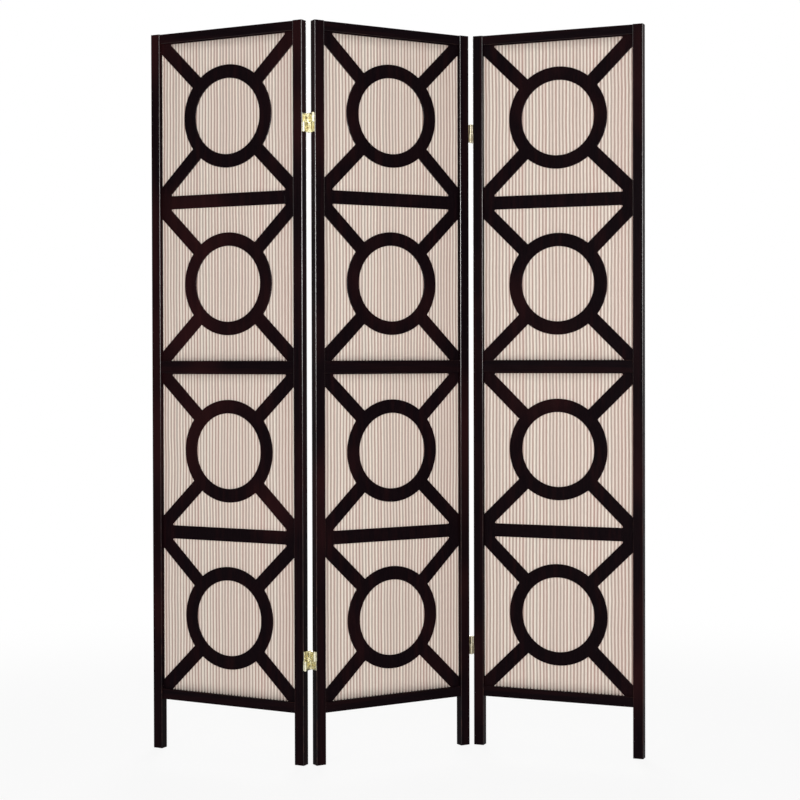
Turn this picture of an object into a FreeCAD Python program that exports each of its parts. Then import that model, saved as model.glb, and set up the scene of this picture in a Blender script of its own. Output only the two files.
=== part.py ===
import FreeCAD, Part
import os
import re
import Sketcher

# A three-panel folding screen. Each panel is a frame of two stiles and three rails round two
# ring-and-diagonal lattice boards with cloth behind them, and two-way hinges join the panels.
# A panel is drawn in its own frame: X across it from its left edge, Y from front face to back,
# Z up from the floor. The screen then stands in a zigzag, its front towards -Y.
doc = FreeCAD.newDocument("FoldingScreen")
sheet = doc.addObject("Spreadsheet::Sheet", "Sizes")

DRIVING_SIZES = {
    # stiles
    "screen_height": 1790,
    "panel_width": 438,
    "stile_width": 25.5,
    "stile_depth": 22,
    "stile_arris": 1.5,
    "leg_length": 124,
    # rails
    "top_rail_height": 23,
    "mid_rail_height": 30.5,
    "bottom_rail_height": 25.5,
    "rail_setback": 4,
    "rail_arris": 1,
    "tenon_length": 12,
    "tenon_thickness": 7,
    "tenon_shoulder": 2.5,
    "tenon_clearance": 0.15,
    # the rebate at the back of the frame that takes lattice, cloth and beads
    "rebate_width": 6,
    "lattice_setback": 11,
    # lattice boards
    "lattice_thickness": 3,
    "lattice_clearance": 0.3,
    "lattice_border": 5,
    "lattice_top_strip": 2.5,
    "lattice_bar": 33,
    "ring_radius": 126.5,
    "ring_band": 33.3,
    "diagonal_width": 34,
    "window_radius": 2.5,
    # cloth and beads
    "cloth_thickness": 0.8,
    "cloth_clearance": 0.1,
    "cloth_inset": 0.7,
    "bead_width": 8,
    "bead_bevel": 2.5,
    "bead_clearance": 0.2,
    "bead_inset": 0.3,
    # two-way hinges
    "hinge_gap": 11,
    "hinge_height": 45,
    "top_hinge_drop": 245,
    "bottom_hinge_rise": 102.5,
    "axis_offset": 0.8,
    "leaf_thickness": 1.6,
    "leaf_margin": 1.5,
    "half_gap": 0.5,
    "knuckle_radius": 3.4,
    "knuckle_length": 6,
    "knuckle_gap": 0.3,
    "link_thickness": 4.5,
    "link_gap": 0.6,
    "pin_radius": 1.5,
    "pin_clearance": 0.05,
    "pin_head_radius": 2.3,
    "pin_head_height": 1.2,
    # hinge screws
    "screw_radius": 1.5,
    "screw_head_radius": 3,
    "screw_length": 14,
    "screw_point": 3,
    "screw_clearance": 0.05,
    "screw_spread": 9,
    "screw_pitch": 22,
    "screw_slot": 0.8,
    "screw_slot_depth": 0.7,
    # the stance: the fold at each joint, and the centre panel's turn from square on
    "left_fold_angle": 58,
    "right_fold_angle": 53,
    "centre_turn_angle": 29,
}

DERIVED_SIZES = {
    "opening_width": "panel_width - 2 * stile_width",
    "lower_opening_level": "leg_length + bottom_rail_height",
    "rails_height": "top_rail_height + mid_rail_height + bottom_rail_height",
    "opening_height": "(screen_height - leg_length - rails_height) / 2",
    "mid_rail_level": "lower_opening_level + opening_height",
    "upper_opening_level": "mid_rail_level + mid_rail_height",
    "top_rail_level": "upper_opening_level + opening_height",
    "cell_height": "(opening_height - lattice_top_strip - lattice_bar) / 2",
    "board_overlap": "rebate_width - lattice_clearance",
    "window_overlap": "board_overlap - lattice_border",
    "diagonal_slope": "atan(cell_height / opening_width)",
    "diagonal_length": "sqrt(cell_height ^ 2 + opening_width ^ 2) + 2 * rebate_width",
    "cloth_front": "lattice_setback + lattice_thickness + cloth_clearance",
    "bead_front": "cloth_front + cloth_thickness + cloth_clearance",
    "bead_depth": "stile_depth - bead_inset - bead_front",
    "bead_edge": "rebate_width - bead_clearance",
    "top_hinge_level": "screen_height - top_hinge_drop",
    "bottom_hinge_level": "lower_opening_level + bottom_hinge_rise",
    "axis_reach": "stile_depth / 2 + axis_offset",
    "leaf_reach": "stile_depth / 2 - leaf_margin",
    "half_height": "(hinge_height - half_gap) / 2",
    "link_knuckle": "half_height - 2 * knuckle_length - 2 * knuckle_gap",
    "link_reach": "axis_reach - knuckle_radius - link_gap",
    "link_lift": "(half_gap + half_height) / 2",
    "pin_bore": "pin_radius + pin_clearance",
    "leaf_face": "hinge_gap / 2 - leaf_thickness",
    "hinge_side": "panel_width + hinge_gap / 2",
    "left_turn": "centre_turn_angle - left_fold_angle",
    "centre_turn": "centre_turn_angle",
    "right_turn": "centre_turn_angle - right_fold_angle",
}

# Where the panels stand, from the left joint's back axis. The left joint is folded about its
# back axis and the right joint about its front axis, so each panel hangs on one corner axis.
STANCE = {
    "left_x_raw": "-hinge_side * cos({left}) + (stile_depth + axis_offset) * sin({left})",
    "left_y_raw": "-hinge_side * sin({left}) - (stile_depth + axis_offset) * cos({left})",
    "centre_x_raw": "hinge_gap / 2 * cos({centre}) + (stile_depth + axis_offset) * sin({centre})",
    "centre_y_raw": "hinge_gap / 2 * sin({centre}) - (stile_depth + axis_offset) * cos({centre})",
    "pivot_x_raw": "centre_x_raw + hinge_side * cos({centre}) + axis_offset * sin({centre})",
    "pivot_y_raw": "centre_y_raw + hinge_side * sin({centre}) - axis_offset * cos({centre})",
    "right_x_raw": "pivot_x_raw + hinge_gap / 2 * cos({right}) - axis_offset * sin({right})",
    "right_y_raw": "pivot_y_raw + hinge_gap / 2 * sin({right}) + axis_offset * cos({right})",
    # the middle of the box round the standing screen, whose depth is between hinge knuckles
    "front_y_raw": "centre_y_raw - hinge_gap / 2 * sin({centre}) - axis_offset * cos({centre})",
    "centre_back_raw": "pivot_y_raw + 2 * axis_reach * cos({centre})",
    "right_back_raw": "pivot_y_raw + 2 * axis_reach * cos({right})",
    "middle_x": "(left_x_raw + right_x_raw + panel_width * cos({right}) - stile_depth * sin({right})) / 2",
    "middle_y": "(front_y_raw + max(centre_back_raw; right_back_raw)) / 2",
    "left_x": "left_x_raw - middle_x",
    "left_y": "left_y_raw - middle_y",
    "centre_x": "centre_x_raw - middle_x",
    "centre_y": "centre_y_raw - middle_y",
    "right_x": "right_x_raw - middle_x",
    "right_y": "right_y_raw - middle_y",
}
TURNS = {"left": "left_turn * 1 deg", "centre": "centre_turn * 1 deg", "right": "right_turn * 1 deg"}


def fill_sheet():
    """Writes the driving sizes as plain numbers, then what follows from them as formulas."""
    rows = {name: str(value) for name, value in DRIVING_SIZES.items()}
    rows.update({name: "=" + words for name, words in DERIVED_SIZES.items()})
    rows.update({name: "=" + words.format(**TURNS) for name, words in STANCE.items()})
    for row, (name, content) in enumerate(rows.items(), start=1):
        sheet.set(f"A{row}", name)
        sheet.set(f"B{row}", content)
        sheet.setAlias(f"B{row}", name)
    doc.recompute()


def formula(words):
    """The same formula with each size's name led by the sheet's."""
    return re.sub(r"[a-z]+(?:_[a-z]+)+", lambda name: "Sizes." + name.group(0), words)


def bind(obj, **formulas):
    """Ties properties of an object to formulas on the sheet's sizes."""
    for name, words in formulas.items():
        obj.setExpression(name, formula(words))


def place(obj, x="0", y="0", z="0", axis="0; 0; 1", turn="0"):
    """Ties an object's Placement to formulas."""
    words = f"placement(vector({x}; {y}; {z}); rotation(vector({axis}); {turn}))"
    obj.setExpression("Placement", formula(words))
    return obj


def block(name, length, width, height, x="0", y="0", z="0"):
    """A box along the axes, from its low corner."""
    box = doc.addObject("Part::Box", name)
    bind(box, Length=length, Width=width, Height=height)
    return place(box, x, y, z)


def rod(name, radius, height, x="0", y="0", z="0", axis="0; 0; 1", turn="0"):
    """A cylinder from the middle of its low end."""
    cylinder = doc.addObject("Part::Cylinder", name)
    bind(cylinder, Radius=radius, Height=height)
    return place(cylinder, x, y, z, axis, turn)


def join(name, shapes):
    """Several solids made one."""
    fused = doc.addObject("Part::MultiFuse", name)
    fused.Shapes = shapes
    return fused


def group(name, shapes, **where):
    """Solids kept apart and placed together."""
    compound = doc.addObject("Part::Compound", name)
    compound.Links = shapes
    return place(compound, **where)


def cut(name, base, tools):
    """A solid less several others."""
    difference = doc.addObject("Part::Cut", name)
    difference.Base = base
    difference.Tool = tools[0] if len(tools) == 1 else join(name + "_tools", tools)
    return difference


def sketch_on(body, plane, name, lift="0"):
    """An empty sketch on one of the body's own planes, lifted along that plane's normal."""
    sketch = body.newObject("Sketcher::SketchObject", name)
    support = next(face for face in body.Origin.OriginFeatures if face.Role == plane)
    sketch.AttachmentSupport = [(support, "")]
    sketch.MapMode = "FlatFace"
    sketch.setExpression("AttachmentOffset.Base.z", formula(lift))
    return sketch


def outline(sketch, corners):
    """A closed outline of straight lines, each corner held by two dimensions from the origin."""
    first = sketch.GeometryCount
    count = len(corners)
    spread = [FreeCAD.Vector(index + 1, (index + 1) ** 2, 0) for index in range(count)]
    for index in range(count):
        sketch.addGeometry(Part.LineSegment(spread[index], spread[(index + 1) % count]))
    for index, corner in enumerate(corners):
        line = first + index
        before = first + (index - 1) % count
        sketch.addConstraint(Sketcher.Constraint("Coincident", before, 2, line, 1))
        for kind, words, axis in (("DistanceX", corner[0], -2), ("DistanceY", corner[1], -1)):
            if words == "0":
                sketch.addConstraint(Sketcher.Constraint("PointOnObject", line, 1, axis))
            else:
                held = sketch.addConstraint(Sketcher.Constraint(kind, -1, 1, line, 1, 1.0))
                sketch.setExpression(f"Constraints[{held}]", formula(words))


def rectangle(sketch, x, y, width, height):
    """A rectangle from its low corner."""
    right = f"{x} + {width}"
    top = f"{y} + {height}"
    outline(sketch, [(x, y), (right, y), (right, top), (x, top)])


def circle(sketch, radius, x, y):
    """A circle held by its centre and radius."""
    index = sketch.addGeometry(Part.Circle(FreeCAD.Vector(1, 1, 0), FreeCAD.Vector(0, 0, 1), 1))
    size = sketch.addConstraint(Sketcher.Constraint("Radius", index, 1.0))
    sketch.setExpression(f"Constraints[{size}]", formula(radius))
    for kind, words in (("DistanceX", x), ("DistanceY", y)):
        held = sketch.addConstraint(Sketcher.Constraint(kind, -1, 1, index, 3, 1.0))
        sketch.setExpression(f"Constraints[{held}]", formula(words))


def pad(body, sketch, length, reverse=False):
    """Adds the sketch's outline at a length."""
    feature = body.newObject("PartDesign::Pad", sketch.Name + "_pad")
    feature.Profile = sketch
    feature.Reversed = reverse
    bind(feature, Length=length)
    return feature


def pocket(body, sketch, length, reverse=False):
    """Cuts the sketch's outline to a depth, and makes sure that it took something away."""
    doc.recompute()
    before = body.Shape.Volume
    feature = body.newObject("PartDesign::Pocket", sketch.Name + "_pocket")
    feature.Profile = sketch
    feature.Reversed = reverse
    bind(feature, Length=length)
    doc.recompute()
    if body.Shape.Volume >= before:
        raise RuntimeError(f"{feature.Name} cuts nothing")
    return feature


def round_edges(body, name, radius, chosen):
    """Rounds the edges of the body's last feature for which chosen(edge) holds."""
    doc.recompute()
    base = body.Tip
    names = [f"Edge{n}" for n, edge in enumerate(base.Shape.Edges, start=1) if chosen(edge)]
    feature = body.newObject("PartDesign::Fillet", name)
    feature.Base = (base, names)
    bind(feature, Radius=radius)
    return feature


def spun(name, profile, **where):
    """A turned piece: a profile of (radius, level) corners spun about Z."""
    body = doc.addObject("PartDesign::Body", name)
    sketch = sketch_on(body, "XZ_Plane", name + "_profile")
    outline(sketch, profile)
    turned = body.newObject("PartDesign::Revolution", name + "_turned")
    turned.Profile = sketch
    turned.ReferenceAxis = (sketch, ["V_Axis"])
    turned.Angle = 360
    return place(body, **where)


# A length too small to matter, for telling edges apart by where they lie.
HAIR = 0.001
OPENINGS = ("lower_opening_level", "upper_opening_level")
HINGES = {"top": "top_hinge_level", "bottom": "bottom_hinge_level"}
# Each rail's low edge and its height.
RAILS = {
    "top": ("top_rail_level", "top_rail_height"),
    "mid": ("mid_rail_level", "mid_rail_height"),
    "bottom": ("leg_length", "bottom_rail_height"),
}
TENON_FRONT = "(rail_setback + stile_depth - tenon_thickness) / 2"


def rail_core(name):
    """The low and the high edge of a rail between its rebates, where it has its full depth."""
    level, height = RAILS[name]
    low = level if name == "bottom" else f"{level} + rebate_width"
    high = f"{level} + {height}" if name == "top" else f"{level} + {height} - rebate_width"
    return low, high


def make_stile(name, hinged):
    """A left-hand stile: a square length with rounded arrises, rebated behind both openings,
    mortised for the rails and, where it carries hinges, drilled for their screws."""
    body = doc.addObject("PartDesign::Body", name)
    section = sketch_on(body, "XY_Plane", name + "_section")
    rectangle(section, "0", "0", "stile_width", "stile_depth")
    pad(body, section, "screen_height")
    upright = sheet.screen_height
    round_edges(body, name + "_arrises", "stile_arris", lambda edge: edge.Length > upright - HAIR)
    rebates = sketch_on(body, "YZ_Plane", name + "_rebates", "stile_width")
    for level in OPENINGS:
        low = f"{level} - rebate_width"
        rectangle(rebates, "lattice_setback", low, "stile_depth - lattice_setback",
                  "opening_height + 2 * rebate_width")
    pocket(body, rebates, "rebate_width")
    mortises = sketch_on(body, "YZ_Plane", name + "_mortises", "stile_width")
    for rail in RAILS:
        low, high = rail_core(rail)
        rectangle(mortises, f"{TENON_FRONT} - tenon_clearance", f"{low} + tenon_shoulder - tenon_clearance",
                  "tenon_thickness + 2 * tenon_clearance",
                  f"{high} - ({low}) - 2 * (tenon_shoulder - tenon_clearance)")
    pocket(body, mortises, "tenon_length + tenon_clearance")
    if hinged:
        pilots = sketch_on(body, "YZ_Plane", name + "_pilots")
        for level in HINGES.values():
            for across in ("-", "+"):
                for up in ("-", "+"):
                    circle(pilots, "screw_radius + screw_clearance",
                           f"stile_depth / 2 {across} screw_spread / 2", f"{level} {up} screw_pitch / 2")
        pocket(body, pilots, "screw_length - leaf_thickness + screw_clearance", reverse=True)
    return body


def mirrored(name, source):
    """The same piece for the panel's other side."""
    mirror = doc.addObject("Part::Mirroring", name)
    mirror.Source = source
    mirror.Normal = FreeCAD.Vector(1, 0, 0)
    mirror.setExpression("Base.x", formula("panel_width / 2"))
    return mirror


def make_rail(name):
    """A rail between the stiles, set back from their face, rebated behind on the sides that
    face an opening, with a tenon at each end."""
    level, height = RAILS[name]
    low, high = rail_core(name)
    top = f"{level} + {height}"
    section = [("rail_setback", level)]
    if name != "bottom":
        section += [("lattice_setback", level), ("lattice_setback", low)]
    section += [("stile_depth", low), ("stile_depth", high)]
    if name != "top":
        section += [("lattice_setback", high), ("lattice_setback", top)]
    section.append(("rail_setback", top))
    body = doc.addObject("PartDesign::Body", name + "_rail_shape")
    profile = sketch_on(body, "YZ_Plane", name + "_rail_section")
    outline(profile, section)
    pad(body, profile, "opening_width")
    front = sheet.rail_setback
    long_way = sheet.opening_width - HAIR
    round_edges(body, name + "_rail_arrises", "rail_arris",
                lambda edge: edge.Length > long_way and edge.BoundBox.YMax < front + HAIR)
    tenons = sketch_on(body, "YZ_Plane", name + "_rail_tenons", "-tenon_length")
    rectangle(tenons, TENON_FRONT, f"{low} + tenon_shoulder", "tenon_thickness",
              f"{high} - ({low}) - 2 * tenon_shoulder")
    pad(body, tenons, "opening_width + 2 * tenon_length")
    return place(body, x="stile_width")


def make_lattice():
    """A lattice board from the low corner of its opening: a border that the rebate hides, a cross
    bar between two cells, and in each cell a ring held by diagonals that run into the corners."""
    wide = "opening_width + 2 * board_overlap"
    tall = "opening_height + 2 * board_overlap"
    plate = block("board_plate", wide, "lattice_thickness", tall, "-board_overlap", "0", "-board_overlap")
    window_x = "-window_overlap"
    window_wide = "opening_width + 2 * window_overlap"
    cells = {"lower": "0", "upper": "cell_height + lattice_bar"}
    low = block("lower_window", window_wide, "lattice_thickness", "cell_height + window_overlap",
                window_x, "0", "-window_overlap")
    high = block("upper_window", window_wide, "lattice_thickness", "cell_height",
                 window_x, "0", cells["upper"])
    frame = cut("board_frame", plate, [low, high])
    stars = []
    holes = []
    for cell, level in cells.items():
        middle = f"{level} + cell_height / 2"
        for turn, way in (("rising", "-"), ("falling", "")):
            bar = block(f"{cell}_{turn}_bar", "diagonal_length", "lattice_thickness", "diagonal_width",
                        "-diagonal_length / 2", "0", "-diagonal_width / 2")
            stars.append(group(f"{cell}_{turn}_diagonal", [bar], x="opening_width / 2", z=middle,
                               axis="0; 1; 0", turn=f"{way}diagonal_slope"))
        for disc, radius, kept in (("ring", "ring_radius", stars),
                                   ("hole", "ring_radius - ring_band", holes)):
            kept.append(rod(f"{cell}_{disc}", radius, "lattice_thickness", "opening_width / 2",
                            "lattice_thickness", middle, "1; 0; 0", "90"))
    trimmed = doc.addObject("Part::MultiCommon", "board_stars")
    trimmed.Shapes = [plate, join("board_rings_and_diagonals", stars)]
    board = cut("board_square", join("board_whole", [frame, trimmed]), holes)
    doc.recompute()
    rounded = doc.addObject("Part::Fillet", "board_shape")
    rounded.Base = board
    radius = sheet.window_radius
    edges = [number for number, edge in enumerate(board.Shape.Edges, start=1) if is_window_corner(edge)]
    rounded.Edges = [(number, radius, radius) for number in edges]
    return group("lattice_shape", [rounded], x="stile_width", y="lattice_setback")


def is_window_corner(edge):
    """True for a corner where a diagonal runs into the cross bar or into the strip at the top."""
    box = edge.BoundBox
    runs_through = box.YLength > sheet.lattice_thickness - HAIR and box.ZLength < HAIR
    bar_low = sheet.cell_height
    bar_high = bar_low + sheet.lattice_bar
    strip = bar_high + sheet.cell_height
    at_level = any(abs(box.ZMin - level) < HAIR for level in (bar_low, bar_high, strip))
    return runs_through and at_level and 0 < box.XMin < sheet.opening_width


def make_cloth():
    """The cloth behind a lattice board, from the low corner of its opening."""
    overlap = "(board_overlap - cloth_inset)"
    return block("cloth_shape", f"opening_width + 2 * {overlap}", "cloth_thickness",
                 f"opening_height + 2 * {overlap}", f"stile_width - {overlap}", "cloth_front", f"-{overlap}")


def make_beads():
    """Four bevelled strips in the rebate behind the cloth, from the low corner of the opening."""
    inner = "(bead_width - bead_edge)"
    left = "stile_width - bead_edge"
    right = "stile_width + opening_width + bead_edge"
    high = "opening_height + bead_edge"
    between_left = f"stile_width + {inner}"
    between_right = f"stile_width + opening_width - {inner}"
    # each bead's extent in X and Z, and which side of its back face the bevel brings in
    spans = {
        "left_bead": ((left, f"{left} + bead_width", "-bead_edge", high), "X2max", "- bead_bevel"),
        "right_bead": ((f"{right} - bead_width", right, "-bead_edge", high), "X2min", "+ bead_bevel"),
        "low_bead": ((between_left, between_right, "-bead_edge", inner), "Z2max", "- bead_bevel"),
        "high_bead": ((between_left, between_right, f"opening_height - {inner}", high),
                      "Z2min", "+ bead_bevel"),
    }
    beads = []
    for name, ((x_low, x_high, z_low, z_high), bevelled, bevel) in spans.items():
        bead = doc.addObject("Part::Wedge", name)
        faces = {"Xmin": x_low, "X2min": x_low, "Xmax": x_high, "X2max": x_high,
                 "Zmin": z_low, "Z2min": z_low, "Zmax": z_high, "Z2max": z_high,
                 "Ymin": "bead_front", "Ymax": "bead_front + bead_depth"}
        faces[bevelled] = f"{faces[bevelled]} {bevel}"
        bind(bead, **faces)
        beads.append(bead)
    return group("beads_shape", beads)


def make_screw():
    """A countersunk wood screw: its head's face at level 0, its point down, a cross cut in the head."""
    tip = "-screw_length"
    blank = spun("screw_blank", [("0", "0"), ("screw_head_radius", "0"), ("screw_radius", "-leaf_thickness"),
                                 ("screw_radius", f"{tip} + screw_point"), ("0", tip)])
    arm = "2 * screw_radius"
    slots = [block("screw_slot_one", arm, "screw_slot", "screw_slot_depth", f"-{arm} / 2",
                   "-screw_slot / 2", "-screw_slot_depth"),
             block("screw_slot_two", "screw_slot", arm, "screw_slot_depth", "-screw_slot / 2",
                   f"-{arm} / 2", "-screw_slot_depth")]
    return cut("screw_shape", blank, slots)


def screw_places():
    """The four screws of a leaf, from the middle of the hinge."""
    return [(f"{across}screw_spread / 2", f"{up}screw_pitch / 2") for across in ("-", "") for up in ("-", "")]


def make_leaf():
    """A hinge leaf, from the middle of the hinge: a plate on the stile's edge that carries the back
    axis in its upper half and the front axis in its lower half, each on two outer knuckles."""
    face = "-hinge_gap / 2"
    plate = block("leaf_plate", "leaf_thickness", "2 * leaf_reach", "hinge_height", face, "-leaf_reach",
                  "-hinge_height / 2")
    arm = block("leaf_arm", "leaf_thickness", "axis_reach - leaf_reach", "half_height", face, "leaf_reach",
                "half_gap / 2")
    side = [arm]
    for name, level in (("inner", "half_gap / 2"), ("outer", "hinge_height / 2 - knuckle_length")):
        side.append(block(f"leaf_{name}_tab", "hinge_gap / 2", "leaf_thickness", "knuckle_length", face,
                          "axis_reach - leaf_thickness", level))
        side.append(rod(f"leaf_{name}_knuckle", "knuckle_radius", "knuckle_length", "0", "axis_reach", level))
    bored = cut("leaf_back", join("leaf_back_solid", side),
                [rod("leaf_bore", "pin_bore", "hinge_height", "0", "axis_reach")])
    front = group("leaf_front", [bored], axis="1; 0; 0", turn="180")
    holes = []
    for number, (across, up) in enumerate(screw_places()):
        hole = rod(f"leaf_hole_{number}", "screw_radius + screw_clearance", "leaf_thickness",
                   face, across, up, "0; 1; 0", "90")
        sink = doc.addObject("Part::Cone", f"leaf_sink_{number}")
        bind(sink, Radius1="screw_radius + screw_clearance", Radius2="screw_head_radius + screw_clearance",
             Height="leaf_thickness")
        place(sink, face, across, up, "0; 1; 0", "90")
        holes += [hole, sink]
    return cut("leaf_shape", join("leaf_whole", [plate, bored, front]), holes)


def make_link():
    """A hinge link, from the middle of its height: a bar between the two axes with one knuckle
    at each end that sits between the knuckles of a leaf."""
    side = "-link_thickness / 2"
    pieces = [block("link_bar", "link_thickness", "2 * link_reach", "half_height", side, "-link_reach",
                    "-half_height / 2")]
    pieces.append(block("link_web", "link_thickness", "2 * axis_reach", "link_knuckle", side, "-axis_reach",
                        "-link_knuckle / 2"))
    bores = []
    for name, y in (("front", "-axis_reach"), ("back", "axis_reach")):
        pieces.append(rod(f"link_{name}_knuckle", "knuckle_radius", "link_knuckle", "0", y,
                          "-link_knuckle / 2"))
        bores.append(rod(f"link_{name}_bore", "pin_bore", "link_knuckle", "0", y, "-link_knuckle / 2"))
    return cut("link_shape", join("link_solid", pieces), bores)


def make_pins():
    """The two pins of a leaf, each with a button head at the hinge's end."""
    head = "hinge_height / 2 + pin_head_height"
    pin = spun("pin_shape", [("0", "half_gap / 2"), ("pin_radius", "half_gap / 2"),
                             ("pin_radius", "hinge_height / 2"), ("pin_head_radius", "hinge_height / 2"),
                             ("pin_radius", head), ("0", head)], y="axis_reach")
    return [pin, group("front_pin", [pin], axis="1; 0; 0", turn="180")]


def both_hinges(name, shapes):
    """The same pieces at the top hinge and at the bottom hinge of a panel's edge."""
    return [group(f"{name}_{hinge}", shapes, z=level) for hinge, level in HINGES.items()]


fill_sheet()
stiles = {
    ("left", False): make_stile("left_stile_plain", False),
    ("left", True): make_stile("left_stile_hinged", True),
}
for hinged in (False, True):
    kind = "hinged" if hinged else "plain"
    stiles[("right", hinged)] = mirrored(f"right_stile_{kind}", stiles[("left", hinged)])
rails = {name: make_rail(name) for name in RAILS}
lattice = make_lattice()
cloth = make_cloth()
beads = make_beads()
leaf = make_leaf()
link = make_link()
pins = both_hinges("pins", make_pins())
screw = make_screw()
leaf_screws = []
for number, (across, up) in enumerate(screw_places()):
    leaf_screws.append(group(f"leaf_screw_{number}", [screw], x="-leaf_face", y=across, z=up,
                             axis="0; 1; 0", turn="90"))
screws = both_hinges("screws", leaf_screws)

nodes = []


def node(name, shapes, x, y, turn, z="0"):
    """One named piece of the standing screen."""
    piece = group(name, shapes, x=x, y=y, z=z, turn=turn)
    piece.Label = name
    nodes.append(piece)
    return piece


def panel_node(panel, name, shape, z="0"):
    """A piece of a panel, at the panel's place in the zigzag."""
    node(f"{panel}_panel_{name}", [shape], f"{panel}_x", f"{panel}_y", f"{panel}_turn", z)


def edge_place(panel, edge):
    """Where the hinges of a panel's edge have their middle line, and which way their leaf faces."""
    across = {"left": "(-hinge_gap / 2)", "right": "hinge_side"}[edge]
    turn = TURNS[panel]
    x = f"{panel}_x + {across} * cos({turn}) - stile_depth / 2 * sin({turn})"
    y = f"{panel}_y + {across} * sin({turn}) + stile_depth / 2 * cos({turn})"
    facing = {"left": f"{panel}_turn + 180", "right": f"{panel}_turn"}[edge]
    return x, y, facing


# The panels.
HINGED_EDGES = {"left": ("right",), "centre": ("left", "right"), "right": ("left",)}
for panel, hinged_edges in HINGED_EDGES.items():
    for edge in ("left", "right"):
        panel_node(panel, f"{edge}_stile", stiles[(edge, edge in hinged_edges)])
    for name, rail in rails.items():
        panel_node(panel, f"{name}_rail", rail)
    for half, level in (("lower", OPENINGS[0]), ("upper", OPENINGS[1])):
        panel_node(panel, f"{half}_lattice", lattice, level)
        panel_node(panel, f"{half}_cloth", cloth, level)
        panel_node(panel, f"{half}_beads", beads, level)

# The hinges. At each joint the leaf of the panel on the left is the left leaf. The upper link lies along
# the centre panel's edge at both joints, and the lower link along the edge of the outer panel.
JOINTS = {
    "left": {"left_leaf": ("left", "right"), "right_leaf": ("centre", "left"),
             "upper_link": ("centre", "left"), "lower_link": ("left", "right")},
    "right": {"left_leaf": ("centre", "right"), "right_leaf": ("right", "left"),
              "upper_link": ("centre", "right"), "lower_link": ("right", "left")},
}
for joint, pieces in JOINTS.items():
    for hinge, level in HINGES.items():
        for name, edge in pieces.items():
            shape, lift = (leaf, "") if "leaf" in name else (link, "link_lift")
            sign = {"upper_link": " + ", "lower_link": " - "}.get(name, "")
            node(f"{joint}_{hinge}_hinge_{name}", [shape], *edge_place(*edge), level + sign + lift)

for panel, hinged_edges in HINGED_EDGES.items():
    held = []
    for edge in hinged_edges:
        x, y, facing = edge_place(panel, edge)
        side = f"{panel}_{edge}" if panel == "centre" else f"{panel}_panel"
        node(f"{side}_hinge_pins", pins, x, y, facing)
        held.append(group(f"{panel}_{edge}_screws", screws, x=x, y=y, turn=facing))
    node(f"{panel}_panel_hinge_screws", held, "0", "0", "0")

doc.recompute()
for obj in doc.Objects:
    if "Invalid" in obj.State or "Error" in obj.State:
        raise RuntimeError(f"{obj.Name} failed: {obj.State}")
for piece in nodes:
    if piece.Shape.isNull() or not piece.Shape.isValid() or not piece.Shape.Solids:
        raise RuntimeError(f"{piece.Label} has no sound solid")

os.makedirs("parts", exist_ok=True)
for piece in nodes:
    piece.Shape.exportStep(f"parts/{piece.Label}.step")
print(len(nodes), "nodes")
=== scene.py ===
import math

import bpy
from mathutils import Matrix


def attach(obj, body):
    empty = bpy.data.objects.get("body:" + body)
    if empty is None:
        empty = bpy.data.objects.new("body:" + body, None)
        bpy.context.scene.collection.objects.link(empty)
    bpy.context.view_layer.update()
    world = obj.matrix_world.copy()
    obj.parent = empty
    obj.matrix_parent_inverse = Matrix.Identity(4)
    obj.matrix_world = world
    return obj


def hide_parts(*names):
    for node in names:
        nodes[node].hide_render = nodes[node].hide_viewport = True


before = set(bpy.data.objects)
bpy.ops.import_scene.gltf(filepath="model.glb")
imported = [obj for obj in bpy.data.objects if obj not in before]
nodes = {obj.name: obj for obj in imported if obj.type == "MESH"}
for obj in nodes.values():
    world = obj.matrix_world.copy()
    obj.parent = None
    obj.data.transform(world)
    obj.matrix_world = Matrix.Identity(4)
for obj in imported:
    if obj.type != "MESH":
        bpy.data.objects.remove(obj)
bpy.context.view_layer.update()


# Stiles and rails: square lengths of close-grained hardwood with rounded arrises, stained to a
# near-black espresso and finished with a thin satin lacquer. Rails are tenoned into the stiles,
# so the grain runs upright in a stile and across the panel in a rail.
panel_turn = {"left": math.radians(-29), "centre": math.radians(29), "right": math.radians(-24)}
stile_rubbing = {("left", "left_stile"): 0.55, ("left", "right_stile"): 1.0,
                 ("centre", "left_stile"): 1.0, ("centre", "right_stile"): 1.0,
                 ("right", "left_stile"): 0.7, ("right", "right_stile"): 0.8}
rail_rubbing = 0.15
stile_dark_share, rail_dark_share = 0.45, 0.56
grain_stretch = {"upright": (1, 1, 0.035), "across": (0.035, 1, 1), "board": (1, 1, 0.12)}
stain_black, stain_brown = (0.0022, 0.0009, 0.0016, 1), (0.0046, 0.0019, 0.0028, 1)
stain_red = (0.0205, 0.0052, 0.0056, 1)
worn_wood = (0.058, 0.021, 0.014, 1)
below_hands, at_hands = 0.7, 1.42


class Wire:
    """A socket in a finish's node tree. Arithmetic on it adds Math nodes."""

    def __init__(self, tree, socket=None):
        self.tree, self.socket = tree, socket

    def node(self, kind, settings=None, values=None, out=0):
        made = self.tree.nodes.new(kind)
        for key, value in (settings or {}).items():
            setattr(made, key, value)
        for key, value in (values or {}).items():
            if isinstance(value, Wire):
                self.tree.links.new(value.socket, made.inputs[key])
            else:
                made.inputs[key].default_value = value
        return Wire(self.tree, made.outputs[out] if len(made.outputs) else None)

    def through(self, operation):
        return self.node("ShaderNodeMath", {"operation": operation}, {0: self})

    def axis(self, name):
        return self.node("ShaderNodeSeparateXYZ", {}, {0: self}, out=name)

    def sum_node(self, operation, first, second):
        return self.node("ShaderNodeMath", {"operation": operation}, {0: first, 1: second})

    def __add__(self, other):
        return self.sum_node("ADD", self, other)

    def __sub__(self, other):
        return self.sum_node("SUBTRACT", self, other)

    def __rsub__(self, other):
        return self.sum_node("SUBTRACT", other, self)

    def __mul__(self, other):
        return self.sum_node("MULTIPLY", self, other)

    __radd__ = __add__
    __rmul__ = __mul__


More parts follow.
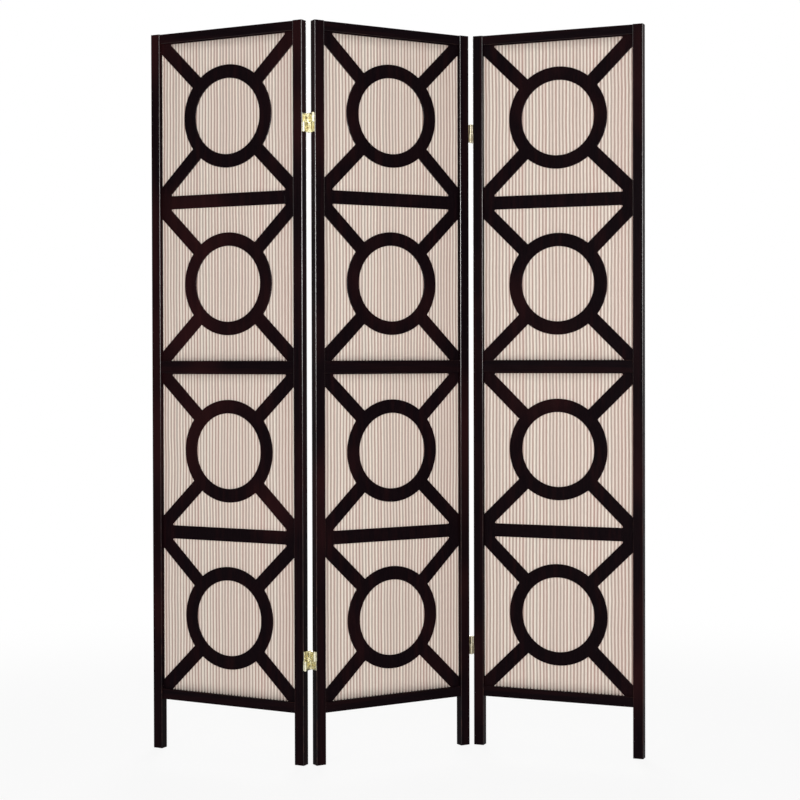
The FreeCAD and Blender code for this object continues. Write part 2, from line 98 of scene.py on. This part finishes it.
def new_finish(name):
    finish = bpy.data.materials.new(name)
    finish.use_nodes = True
    finish.node_tree.nodes.clear()
    return finish, Wire(finish.node_tree)


def spread(bench, value, low, high, to_low=0.0, to_high=1.0):
    """The value, eased from to_low to to_high as it goes from low to high."""
    return bench.node("ShaderNodeMapRange", {"interpolation_type": "SMOOTHSTEP"},
                      {"Value": value, "From Min": low, "From Max": high,
                       "To Min": to_low, "To Max": to_high})


def blend_colour(bench, share, first, second):
    return bench.node("ShaderNodeMix", {"data_type": "RGBA"},
                      {0: share, 6: first, 7: second}, out=2)


def mottle(bench, at, scale, detail=3.0, roughness=0.5):
    return bench.node("ShaderNodeTexNoise", {},
                      {"Vector": at, "Scale": scale, "Detail": detail, "Roughness": roughness})


def espresso_wood(name, turn, grain, flat_gloss=0.46, dark_share=0.48, rubbing=0.3):
    """Espresso stain on wood whose grain runs along one axis of a panel turned by that angle."""
    finish, bench = new_finish(name)
    place = bench.node("ShaderNodeTexCoord", out="Object")
    panel = bench.node("ShaderNodeMapping", {}, {"Vector": place, "Rotation": (0, 0, -turn)})
    fibre = bench.node("ShaderNodeMapping", {}, {"Vector": panel, "Scale": grain_stretch[grain]})
    streaks = mottle(bench, fibre, scale=420.0, detail=5.0, roughness=0.6)
    figure = mottle(bench, fibre, scale=55.0, detail=3.0, roughness=0.55)
    patches = mottle(bench, panel, scale=3.1, detail=2.0)
    red_patches = spread(bench, patches, dark_share, dark_share + 0.28)
    red_figure = spread(bench, figure, 0.44, 0.74)
    dark = blend_colour(bench, spread(bench, streaks, 0.3, 0.7), stain_black, stain_brown)
    stained = blend_colour(bench, red_patches * 0.7 + red_figure * 0.26, dark, stain_red)
    # The rounded arrises face between the panel's own directions. There the lacquer is rubbed
    # to a gloss, most of all where hands reach, and in places down to the red of the wood.
    facing = bench.node("ShaderNodeMapping", {}, {
        "Vector": bench.node("ShaderNodeTexCoord", out="Normal"), "Rotation": (0, 0, -turn)})
    tilt_x, tilt_y, tilt_z = (facing.axis(way).through("ABSOLUTE") for way in "XYZ")
    arris = spread(bench, tilt_x * tilt_y + tilt_y * tilt_z + tilt_x * tilt_z, 0.08, 0.42)
    gloss = arris * spread(bench, place.axis("Z"), below_hands, at_hands, rubbing * 0.12, rubbing)
    handled = mottle(bench, panel, scale=38.0, detail=4.0, roughness=0.65)
    worn = arris * spread(bench, handled, 0.4, 0.72)
    colour = blend_colour(bench, worn * 0.7, stained, worn_wood)
    sheen = spread(bench, handled, 0.3, 0.75, flat_gloss - 0.05, flat_gloss + 0.08)
    ripple = bench.node("ShaderNodeBump", {}, {"Strength": 0.35, "Distance": 0.00012,
                                               "Height": streaks * 0.6 + figure})
    wood = bench.node("ShaderNodeBsdfPrincipled", {},
                      {"Base Color": colour, "Roughness": sheen, "Normal": ripple,
                       "Specular IOR Level": 0.02, "Coat Weight": gloss, "Coat Roughness": 0.24,
                       "Coat IOR": 2.4})
    bench.node("ShaderNodeOutputMaterial", {}, {"Surface": wood})
    return finish


def dress(piece, finish):
    piece.data.materials.clear()
    piece.data.materials.append(finish)


for side, turn in panel_turn.items():
    for part in ("left_stile", "right_stile"):
        stile_wood = espresso_wood(f"{side}_panel_{part}_wood", turn, "upright",
                                   dark_share=stile_dark_share, rubbing=stile_rubbing[side, part])
        dress(nodes[f"{side}_panel_{part}"], stile_wood)
    rail_wood = espresso_wood(side + "_rail_wood", turn, "across",
                              dark_share=rail_dark_share, rubbing=rail_rubbing)
    for part in ("top_rail", "mid_rail", "bottom_rail"):
        dress(nodes[f"{side}_panel_{part}"], rail_wood)


# Lattice boards: one thin board in each opening, fret-cut to two rings with diagonals and a
# cross bar, with its cut arrises sanded just off. Stained as the frame but flatter. It is laid in
# the rebate from behind, so it moves with its own panel.
arris_ease = 0.00045
arris_angle = math.radians(40)
merge_gap = 0.00001
board_gloss, board_rubbing = 0.55, 0.4


def select_only(piece):
    bpy.ops.object.select_all(action="DESELECT")
    piece.select_set(True)
    bpy.context.view_layer.objects.active = piece


for side, turn in panel_turn.items():
    board_wood = espresso_wood(side + "_board_wood", turn, "board",
                               flat_gloss=board_gloss, rubbing=board_rubbing)
    for half in ("upper", "lower"):
        node = f"{side}_panel_{half}_lattice"
        board = bpy.data.objects.new(f"{side}_{half}_fret_board", nodes[node].data.copy())
        bpy.context.scene.collection.objects.link(board)
        select_only(board)
        bpy.ops.object.mode_set(mode="EDIT")
        bpy.ops.mesh.select_all(action="SELECT")
        bpy.ops.mesh.customdata_custom_splitnormals_clear()
        bpy.ops.mesh.remove_doubles(threshold=merge_gap)
        bpy.ops.object.mode_set(mode="OBJECT")
        easing = board.modifiers.new("sanded_arrises", "BEVEL")
        easing.width, easing.segments = arris_ease, 2
        easing.limit_method, easing.angle_limit = "ANGLE", arris_angle
        easing.harden_normals = True
        bpy.ops.object.shade_smooth()
        bpy.ops.object.modifier_apply(modifier=easing.name)
        dress(board, board_wood)
        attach(board, f"{side}_panel")
        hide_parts(node)


# Cloths: one striped sheet behind each lattice board. It is woven with upright cords, so that
# cream ribs stand between taupe furrows, and it is stretched flat over the back of the board.
# The ribs wander a little where the weave was pulled.
cloth_width, cloth_height = 0.395, 0.802
cloth_thickness = 0.0002
cloth_depth = 0.0145
cloth_level = {"lower": 0.54625, "upper": 1.37025}
rib_count = 45
rib_relief = 0.00024
rib_line = 0.1
points_across_rib, rows_along_rib = 4, 12
pulled_weave = 0.0034
pull_size = 0.11
weft_pitch = 0.0012
slub_threads, hair_threads = (900, 90), (1500, 1100)
panel_corner = {"left": (-0.60876, 0.09609), "centre": (-0.19395, -0.11625),
                "right": (0.19968, 0.09655)}
panel_middle = 0.219
pink_cream, pale_cream = (0.81, 0.70, 0.62, 1), (0.88, 0.81, 0.71, 1)
pink_taupe, grey_taupe = (0.475, 0.29, 0.252, 1), (0.49, 0.45, 0.395, 1)
# Darker thread tone, also used as painted shade at the bottom of the furrows.
thread_tone_and_furrow_shade = (0.30, 0.215, 0.175, 1)
# Painted shade in the furrows just above the rail.
groove_shadow_colour = (0.016, 0.010, 0.009, 1)
groove_shadow_rise, groove_shadow_uneven, crest_height = 0.0026, 0.0022, 0.0095


def panel_place(side):
    corner_x, corner_y = panel_corner[side]
    return (Matrix.Translation((corner_x, corner_y, 0))
            @ Matrix.Rotation(panel_turn[side], 4, "Z"))


def cord_share(bench, cord):
    """A share from 0 to 1 that changes by chance from one numbered cord to the next."""
    return bench.node("ShaderNodeTexWhiteNoise", {"noise_dimensions": "1D"}, {"W": cord},
                      out="Value")


def threads_on(bench, flat, threads):
    """The cloth's flat coordinates counted in threads, given per metre across and along."""
    across, along = threads
    return bench.node("ShaderNodeMapping", {}, {
        "Vector": flat, "Scale": (cloth_width * across, cloth_height * along, 1)})


def ribbed_cloth():
    finish, bench = new_finish("ribbed_striped_cloth")
    flat = bench.node("ShaderNodeTexCoord", out="UV")
    along = flat.axis("Y")
    turns = flat.axis("X") * rib_count
    crest = 0.5 - 0.5 * (turns * (2 * math.pi)).through("COSINE")
    rib, furrow = turns.through("FLOOR"), (turns + 0.5).through("FLOOR")
    yarn = cord_share(bench, rib)
    dye = cord_share(bench, furrow + 0.71)
    slub = mottle(bench, threads_on(bench, flat, slub_threads), 1.0, detail=3.0, roughness=0.6)
    cream = blend_colour(bench, yarn, pink_cream, pale_cream)
    taupe = blend_colour(bench, slub * 0.45 + dye * 0.55, pink_taupe, grey_taupe)
    striped = blend_colour(bench, spread(bench, crest + yarn * 0.12, 0.36, 0.86), taupe, cream)
    # Weft threads cross the cords, set over by half a thread from one cord to the next, and the
    # yarn is uneven and a little hairy. The bottom of each furrow is painted darker as painted
    # shade.
    weft = (along * (cloth_height / weft_pitch * 2 * math.pi) + rib * math.pi).through("SINE")
    hairs = mottle(bench, threads_on(bench, flat, hair_threads), 1.0, detail=2.0)
    threads = ((0.5 - 0.5 * weft) * 0.17 + spread(bench, hairs, 0.35, 0.7) * 0.10
               + spread(bench, slub, 0.3, 0.75) * 0.12)
    # Painted shade: the bottom of each furrow is darkened, where shade falls in the groove.
    bottom = 1 - spread(bench, crest, 0.0, 0.16)
    woven = blend_colour(bench, threads + bottom * 0.22, striped, thread_tone_and_furrow_shade)
    # Painted shade: the furrows are painted dark a few millimetres up from the rail.
    groove_shadow_reach = cord_share(bench, furrow + 0.37)
    groove_shadow_edge = along * cloth_height - groove_shadow_rise - groove_shadow_reach * groove_shadow_uneven + crest * crest_height
    groove_shadow = 1 - spread(bench, groove_shadow_edge, 0.0012, 0.0042)
    shaded = blend_colour(bench, groove_shadow * 0.92, woven, groove_shadow_colour)
    raised = bench.node("ShaderNodeBump", {}, {
        "Strength": 0.55, "Distance": 0.0003,
        "Height": crest + weft * 0.2 + slub * 0.4 + hairs * 0.15})
    cloth = bench.node("ShaderNodeBsdfPrincipled", {},
                       {"Base Color": shaded, "Roughness": 0.86 + slub * 0.08, "Normal": raised,
                        "Specular IOR Level": 0.2, "Sheen Weight": 0.08, "Sheen Roughness": 0.5})
    bench.node("ShaderNodeOutputMaterial", {}, {"Surface": cloth})
    return finish


bpy.ops.object.select_all(action="DESELECT")
bpy.ops.mesh.primitive_grid_add(x_subdivisions=rib_count * points_across_rib,
                                y_subdivisions=rows_along_rib, size=1)
ribbed = bpy.context.object
ribbed.scale = (cloth_width, cloth_height, 1)
bpy.ops.object.transform_apply(scale=True)
for line, lift in ((0.5, rib_relief), (0.0, -rib_relief)):
    for point in ribbed.data.vertices:
        turn_of_rib = (point.co.x / cloth_width + 0.5) * rib_count
        point.select = abs((turn_of_rib - line + 0.5) % 1 - 0.5) < rib_line
    bpy.ops.object.mode_set(mode="EDIT")
    bpy.ops.mesh.select_mode(type="VERT")
    bpy.ops.transform.translate(value=(0, 0, lift))
    bpy.ops.mesh.select_all(action="DESELECT")
    bpy.ops.object.mode_set(mode="OBJECT")
rounding = ribbed.modifiers.new("round_ribs", "SUBSURF")
rounding.levels = rounding.render_levels = 1
bpy.ops.object.modifier_apply(modifier=rounding.name)
bpy.ops.object.shade_smooth()

cloth_finish = ribbed_cloth()
pulling = bpy.data.textures.new("pulled_weave", "CLOUDS")
pulling.noise_scale, pulling.noise_depth = pull_size, 1

for side in panel_turn:
    for half, level in cloth_level.items():
        sheet = ribbed.copy()
        sheet.data = ribbed.data.copy()
        sheet.name = f"{side}_{half}_striped_cloth"
        bpy.context.scene.collection.objects.link(sheet)
        select_only(sheet)
        sheet.matrix_world = (panel_place(side)
                              @ Matrix.Translation((panel_middle, cloth_depth, level))
                              @ Matrix.Rotation(math.pi / 2, 4, "X"))
        wander = sheet.modifiers.new("wandering_ribs", "DISPLACE")
        wander.texture, wander.texture_coords = pulling, "GLOBAL"
        wander.direction, wander.strength = "X", pulled_weave
        bpy.ops.object.modifier_apply(modifier=wander.name)
        body = sheet.modifiers.new("cloth_thickness", "SOLIDIFY")
        body.thickness, body.offset = cloth_thickness, 0
        bpy.ops.object.modifier_apply(modifier=body.name)
        bpy.ops.object.transform_apply(location=True, rotation=True, scale=True)
        dress(sheet, cloth_finish)
        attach(sheet, f"{side}_panel")
        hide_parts(f"{side}_panel_{half}_cloth")
bpy.data.objects.remove(ribbed)


# Glazing beads: four thin strips round the back of each opening, bevelled on the inner edge and
# pinned into the rebate. They press the cloth and the lattice board home.
bead_gloss = 0.5

for side, turn in panel_turn.items():
    bead_wood = espresso_wood(side + "_bead_wood", turn, "board", flat_gloss=bead_gloss)
    for half in ("upper", "lower"):
        dress(nodes[f"{side}_panel_{half}_beads"], bead_wood)


# Bead pins: round-headed brass pins, five to an upright bead and three to a level one, driven
# through the beads into the frame. Dulled in the shop, their heads stand just proud of the bead.
pin_head_width, pin_head_rise = 0.0024, 0.00027
pin_root = 0.0002
dome_steps = ((pin_root + pin_head_rise * 0.3, 1.0), (pin_head_rise * 0.4, 0.84),
              (pin_head_rise * 0.3, 0.55))
dome_angle = math.radians(50)
sorting_point = (0.013, 0.0047, 0.0091)
opening_width, opening_height = 0.387, 0.7935
pin_inset = 0.003
bead_back = 0.0217
pin_line_across, pin_line_along = opening_width / 2 + pin_inset, opening_height / 2 + pin_inset
upright_steps = (-0.36, -0.18, 0.0, 0.18, 0.36)
level_steps = (-0.14, 0.0, 0.14)


def plated_brass(name, bright, tarnished, polish):
    finish, bench = new_finish(name)
    place = bench.node("ShaderNodeTexCoord", out="Object")
    brushed = bench.node("ShaderNodeMapping", {}, {"Vector": place, "Scale": (1, 1, 14)})
    scuffs = mottle(bench, brushed, scale=190.0, detail=3.0, roughness=0.6)
    spots = mottle(bench, place, scale=130.0, detail=3.0, roughness=0.6)
    aged = spread(bench, spots, 0.46, 0.74)
    colour = blend_colour(bench, aged * 0.8, bright, tarnished)
    dullness = spread(bench, scuffs, 0.3, 0.75, polish - 0.06, polish + 0.12) + aged * 0.1
    rubbed = bench.node("ShaderNodeBump", {}, {"Strength": 0.16, "Distance": 0.00005,
                                               "Height": scuffs})
    metal = bench.node("ShaderNodeBsdfPrincipled", {},
                       {"Base Color": colour, "Metallic": 1.0, "Normal": rubbed,
                        "Roughness": dullness})
    bench.node("ShaderNodeOutputMaterial", {}, {"Surface": metal})
    return finish


dulled_brass = plated_brass("dulled_pin_brass", (0.47, 0.38, 0.19, 1),
                            (0.17, 0.115, 0.045, 1), polish=0.34)

bpy.ops.object.select_all(action="DESELECT")
bpy.ops.mesh.primitive_circle_add(vertices=12, radius=pin_head_width / 2, fill_type="NGON",
                                  location=(0, 0, -pin_root))
pin_head = bpy.context.object
bpy.ops.object.transform_apply(location=True)
bpy.ops.object.mode_set(mode="EDIT")
bpy.ops.mesh.select_all(action="SELECT")
for lift, shrink in dome_steps:
    bpy.ops.mesh.extrude_region_move(TRANSFORM_OT_translate={"value": (0, 0, lift)})
    bpy.ops.transform.resize(value=(shrink, shrink, 1))
bpy.ops.mesh.select_all(action="SELECT")
bpy.ops.mesh.normals_make_consistent(inside=False)
# Extruding leaves the faces in no fixed order. Sorted by distance, they are the same in each run.
bpy.context.scene.cursor.location = sorting_point
bpy.ops.mesh.sort_elements(type="CURSOR_DISTANCE", elements={"VERT", "EDGE", "FACE"})
bpy.ops.object.mode_set(mode="OBJECT")
bpy.ops.object.shade_smooth_by_angle(angle=dome_angle)

pin_places = [(edge * pin_line_across, step) for edge in (-1, 1) for step in upright_steps]
pin_places += [(step, edge * pin_line_along) for edge in (-1, 1) for step in level_steps]
for side in panel_turn:
    for half, level in cloth_level.items():
        bpy.ops.object.select_all(action="DESELECT")
        for across, up in pin_places:
            pin = pin_head.copy()
            pin.data = pin_head.data.copy()
            bpy.context.scene.collection.objects.link(pin)
            pin.matrix_world = (
                panel_place(side)
                @ Matrix.Translation((panel_middle + across, bead_back, level + up))
                @ Matrix.Rotation(-math.pi / 2, 4, "X"))
            pin.select_set(True)
        bpy.context.view_layer.objects.active = pin
        bpy.ops.object.join()
        bead_pins = bpy.context.object
        bead_pins.name = f"{side}_{half}_bead_pins"
        bpy.ops.object.transform_apply(location=True, rotation=True, scale=True)
        dress(bead_pins, dulled_brass)
        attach(bead_pins, f"{side}_panel")
bpy.data.objects.remove(pin_head)


# Hinges: two-way screen hinges of plated brass. A leaf is screwed to each stile edge, and two
# crossed links run from the front pins to the back ones. Plated bright and lightly scuffed in
# use; the right-hand pair gets a darker copy of the brass, painted shade of the fold it sits in.
leaf_brass = plated_brass("plated_leaf_brass", (0.68, 0.65, 0.49, 1),
                          (0.26, 0.21, 0.09, 1), polish=0.24)
# A darker copy of the leaf brass: painted shade for the right-hand pair in the fold.
shaded_leaf_brass = plated_brass("shaded_leaf_brass", (0.38, 0.34, 0.25, 1),
                                 (0.22, 0.17, 0.08, 1), polish=0.3)
pin_brass = plated_brass("pin_brass", (0.74, 0.67, 0.46, 1), (0.40, 0.31, 0.14, 1), polish=0.2)
screw_brass = plated_brass("screw_brass", (0.60, 0.52, 0.27, 1), (0.28, 0.20, 0.07, 1),
                           polish=0.3)

for name, piece in nodes.items():
    if name.endswith(("_leaf", "_link")):
        dress(piece, shaded_leaf_brass if name.startswith("right_") else leaf_brass)
    elif name.endswith("hinge_pins"):
        dress(piece, pin_brass)
    elif name.endswith("hinge_screws"):
        dress(piece, screw_brass)


# Studio floor: a wide pale floor that runs out to the white of the room, and keeps the screen's
# soft shadow close to its feet.
floor_span = 16.0
floor_drop = 0.0005
floor_paint, room_white = (0.86, 0.86, 0.86, 1), (1, 1, 1, 1)
shadow_near, shadow_far = 1.1, 2.6
white_near, white_far = 0.9, 1.0


def seen_directly(bench):
    """1 for what the camera sees, also in a reflection or through glass, and 0 for light."""
    camera_ray, glossy_ray, clear_ray = (
        bench.node("ShaderNodeLightPath", out=ray)
        for ray in ("Is Camera Ray", "Is Glossy Ray", "Is Transmission Ray"))
    return bench.node("ShaderNodeMath", {"operation": "ADD", "use_clamp": True},
                      {0: camera_ray + glossy_ray, 1: clear_ray})


bpy.ops.object.select_all(action="DESELECT")
bpy.ops.mesh.primitive_circle_add(vertices=96, radius=floor_span / 2, fill_type="NGON",
                                  location=(0, 0, -floor_drop))
floor = bpy.context.object
floor.name = "studio_floor"
bpy.ops.object.transform_apply(location=True)

floor_finish, bench = new_finish("pale_studio_floor")
ground = bench.node("ShaderNodeTexCoord", out="Object")
reach = bench.node("ShaderNodeVectorMath", {"operation": "LENGTH"}, {0: ground}, out="Value")
paint = bench.node("ShaderNodeBsdfDiffuse", {}, {"Color": floor_paint})
white = bench.node("ShaderNodeEmission", {}, {"Color": room_white, "Strength": 1.0})
fading = spread(bench, reach, shadow_near, shadow_far, white_near, white_far)
ground_mix = bench.node("ShaderNodeMixShader", {},
                        {0: fading * seen_directly(bench), 1: paint, 2: white})
bench.node("ShaderNodeOutputMaterial", {}, {"Surface": ground_mix})
dress(floor, floor_finish)


# Studio light: a white room, a large softbox in front of the screen, a narrower one at each side
# that draws the arrises, and one behind the screen.
room_fill = 0.17
softbox_aim = 0.95
softboxes = (  # name, degrees round from the front, metres away and up, width and height, watts
    ("front_softbox", 0, 5.2, 1.05, (2.4, 1.5), 182),
    ("left_softbox", -33, 3.9, 1.4, (0.6, 1.7), 22),
    ("right_softbox", 32, 3.9, 1.4, (0.9, 1.7), 18),
    ("back_softbox", 180, 4.4, 2.2, (2.0, 1.5), 130),
)

room = bpy.data.worlds.new("white_room")
bpy.context.scene.world = room
room.use_nodes = True
room.node_tree.nodes.clear()
bench = Wire(room.node_tree)
brightness = room_fill + seen_directly(bench) * (1 - room_fill)
walls = bench.node("ShaderNodeBackground", {}, {"Color": room_white, "Strength": brightness})
bench.node("ShaderNodeOutputWorld", {}, {"Surface": walls})

for name, around, away, height, (box_width, box_height), power in softboxes:
    lamp = bpy.data.lights.new(name, "AREA")
    lamp.shape, lamp.size, lamp.size_y, lamp.energy = "RECTANGLE", box_width, box_height, power
    stand = bpy.data.objects.new(name, lamp)
    bpy.context.scene.collection.objects.link(stand)
    tilt = math.atan2(height - softbox_aim, away)
    stand.matrix_world = (Matrix.Rotation(math.radians(around), 4, "Z")
                          @ Matrix.Translation((0, -away, height))
                          @ Matrix.Rotation(math.pi / 2 - tilt, 4, "X"))


# Camera: a long lens a little above the middle of the screen, with the small drop of the lens
# that keeps the stiles upright in the picture.
sensor_width, focal_length = 36, 77.015
lens_drop = -0.03
camera_place = (-0.1158, -4.2216, 0.98674)
camera_turn, camera_tilt, camera_roll = -1.726, 90 - 0.70, -0.138

lens = bpy.data.cameras.new("studio_camera")
lens.sensor_width, lens.lens = sensor_width, focal_length
lens.shift_y = lens_drop
camera = bpy.data.objects.new("studio_camera", lens)
bpy.context.scene.collection.objects.link(camera)
camera.matrix_world = (Matrix.Translation(camera_place)
                       @ Matrix.Rotation(math.radians(camera_turn), 4, "Z")
                       @ Matrix.Rotation(math.radians(camera_tilt), 4, "X")
                       @ Matrix.Rotation(math.radians(camera_roll), 4, "Z"))
bpy.context.scene.camera = camera
bpy.context.scene.view_settings.view_transform = "Standard"
